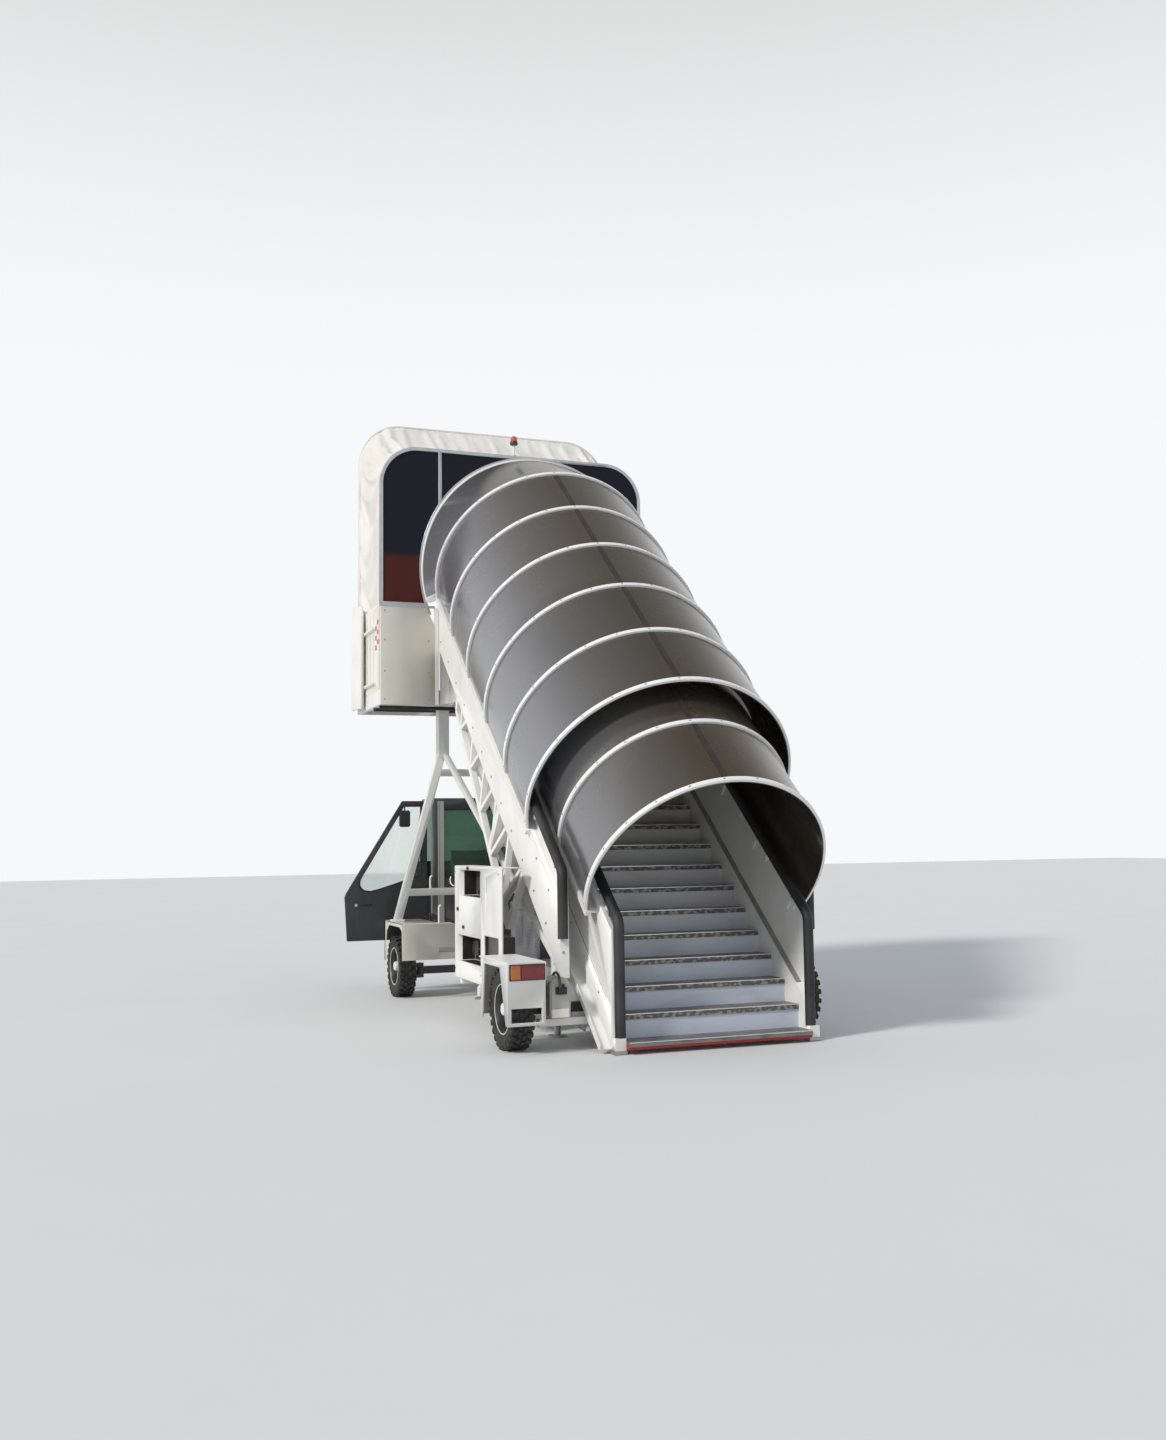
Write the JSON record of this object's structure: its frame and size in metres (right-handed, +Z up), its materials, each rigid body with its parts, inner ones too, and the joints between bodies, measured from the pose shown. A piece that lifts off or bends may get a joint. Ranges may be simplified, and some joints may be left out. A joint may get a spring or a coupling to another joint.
{
  "type": "mobile aircraft stairs",
  "caption": "Self-propelled boarding stairs: telescoping covered flight on a wheeled chassis, side driver's cab, raised platform cabin with fabric hood.",
  "frame": {"origin": "on the ground below the middle of the whole vehicle's box, at rest with the cab door open", "axes": "+Y forward, towards the aircraft, +X to the vehicle's right, +Z up"},
  "size_m": [3.5008, 6.8752, 6.8],
  "materials": {
    "white_paint": "gloss paint",
    "cream_paint": "gloss paint",
    "charcoal_paint": "satin paint",
    "black_paint": "satin paint",
    "red_paint": "gloss paint",
    "riser_paint": "satin paint",
    "tread_plate": "raised bar pattern",
    "rail_rubber": "ribbed rubber cover",
    "bumper_rubber": "moulded rubber",
    "hoop_paint": "gloss paint",
    "smoked_sheet": "translucent smoked sheet",
    "window_tint": "dark tinted",
    "cab_glass": "green tinted",
    "frame_metal": "satin",
    "tyre_rubber": "worn",
    "rim_paint": "satin paint",
    "axle_paint": "satin paint",
    "hood_fabric": "coated cloth",
    "lamp_plastic": "ribbed lens",
    "beacon_plastic": "domed lens",
    "tank_paint": "gloss paint",
    "seat_cover": "grained",
    "wheel_plastic": "grained",
    "rod_steel": "polished",
    "jack_steel": "satin",
    "engine_iron": "rough cast"
  },
  "bodies": {
    "root": {"chassis_frame": "white_paint", "chassis_members": "white_paint", "chassis_outriggers": "white_paint", "front_axle": "axle_paint", "rear_axle": "axle_paint", "front_fenders": "cream_paint", "fender_rear_left": "white_paint", "tail_lamps": "lamp_plastic", "equipment_cabinet": "white_paint", "hydraulic_tank": "tank_paint", "engine_block": "engine_iron", "cab_body": "charcoal_paint", "cab_glazing": "cab_glass", "driver_seat": "seat_cover", "steering_wheel": "wheel_plastic", "support_frame": "white_paint", "jack_housings": "white_paint", "lift_barrels": "axle_paint", "lower_stringers": "white_paint", "lower_treads": "tread_plate", "lower_risers": "riser_paint", "lower_handrails": "rail_rubber", "bumper_bar": "red_paint", "lower_canopy_hoops": "hoop_paint", "lower_canopy_sheet": "smoked_sheet"},
    "upper": {"upper_beams": "white_paint", "upper_truss": "white_paint", "upper_treads": "tread_plate", "upper_risers": "riser_paint", "upper_handrails": "rail_rubber", "upper_canopy_hoops": "hoop_paint", "upper_canopy_sheet": "smoked_sheet", "canopy_collar": "smoked_sheet", "platform_floor": "white_paint", "platform_walls": "cream_paint", "platform_frame": "frame_metal", "platform_windows": "window_tint", "platform_bumper": "bumper_rubber", "hood": "hood_fabric", "front_hoop": "hoop_paint", "beacon": "beacon_plastic", "lift_rods": "rod_steel"},
    "knuckle_left": {"knuckle_left": "axle_paint"},
    "knuckle_right": {"knuckle_right": "axle_paint"},
    "wheel_front_left": {"tyre_front_left": "tyre_rubber", "rim_front_left": "rim_paint"},
    "wheel_front_right": {"tyre_front_right": "tyre_rubber", "rim_front_right": "rim_paint"},
    "wheel_rear_left": {"tyre_rear_left": "tyre_rubber", "rim_rear_left": "rim_paint"},
    "wheel_rear_right": {"tyre_rear_right": "tyre_rubber", "rim_rear_right": "rim_paint"},
    "cab_door": {"cab_door": "charcoal_paint", "cab_door_glass": "cab_glass"},
    "jacks": {"jack_legs": "jack_steel"},
    "guard_left": {"guard_left": "white_paint"},
    "guard_right": {"guard_right": "white_paint"}
  },
  "joints": [
    {"name": "lift", "type": "slide", "parent": "root", "child": "upper", "axis": [0, 0.7709, 0.637], "range_m": [0, 1.53]},
    {"name": "steer_left", "type": "hinge", "parent": "root", "child": "knuckle_left", "pos_m": [-0.9735, 1.97759, 0.335], "axis": [0, 0, 1], "range_deg": [-25, 25]},
    {"name": "steer_right", "type": "hinge", "parent": "root", "child": "knuckle_right", "pos_m": [1.2465, 1.97759, 0.335], "axis": [0, 0, 1], "range_deg": [-25, 25]},
    {"name": "spin_front_left", "type": "hinge", "parent": "knuckle_left", "child": "wheel_front_left", "pos_m": [-1.1835, 1.97759, 0.335], "axis": [1, 0, 0], "continuous": true},
    {"name": "spin_front_right", "type": "hinge", "parent": "knuckle_right", "child": "wheel_front_right", "pos_m": [1.3965, 1.97759, 0.335], "axis": [1, 0, 0], "continuous": true},
    {"name": "spin_rear_left", "type": "hinge", "parent": "root", "child": "wheel_rear_left", "pos_m": [-1.2335, -2.29241, 0.335], "axis": [1, 0, 0], "continuous": true},
    {"name": "spin_rear_right", "type": "hinge", "parent": "root", "child": "wheel_rear_right", "pos_m": [1.3965, -2.29241, 0.335], "axis": [1, 0, 0], "continuous": true},
    {"name": "cab_door_swing", "type": "hinge", "parent": "root", "child": "cab_door", "pos_m": [-0.7585, 2.36759, 1.2], "axis": [0, 0, 1], "range_deg": [-90, 0]},
    {"name": "jack_lift", "type": "slide", "parent": "root", "child": "jacks", "axis": [0, 0, 1], "range_m": [0, 0.2]},
    {"name": "guard_left_slide", "type": "slide", "parent": "upper", "child": "guard_left", "axis": [0, 1, 0], "range_m": [-0.35, 0.1]},
    {"name": "guard_right_slide", "type": "slide", "parent": "upper", "child": "guard_right", "axis": [0, 1, 0], "range_m": [-0.35, 0.1]}
  ],
  "couplings": [
    {"joint": "steer_right", "follows": "steer_left", "ratio": 1}
  ]
}
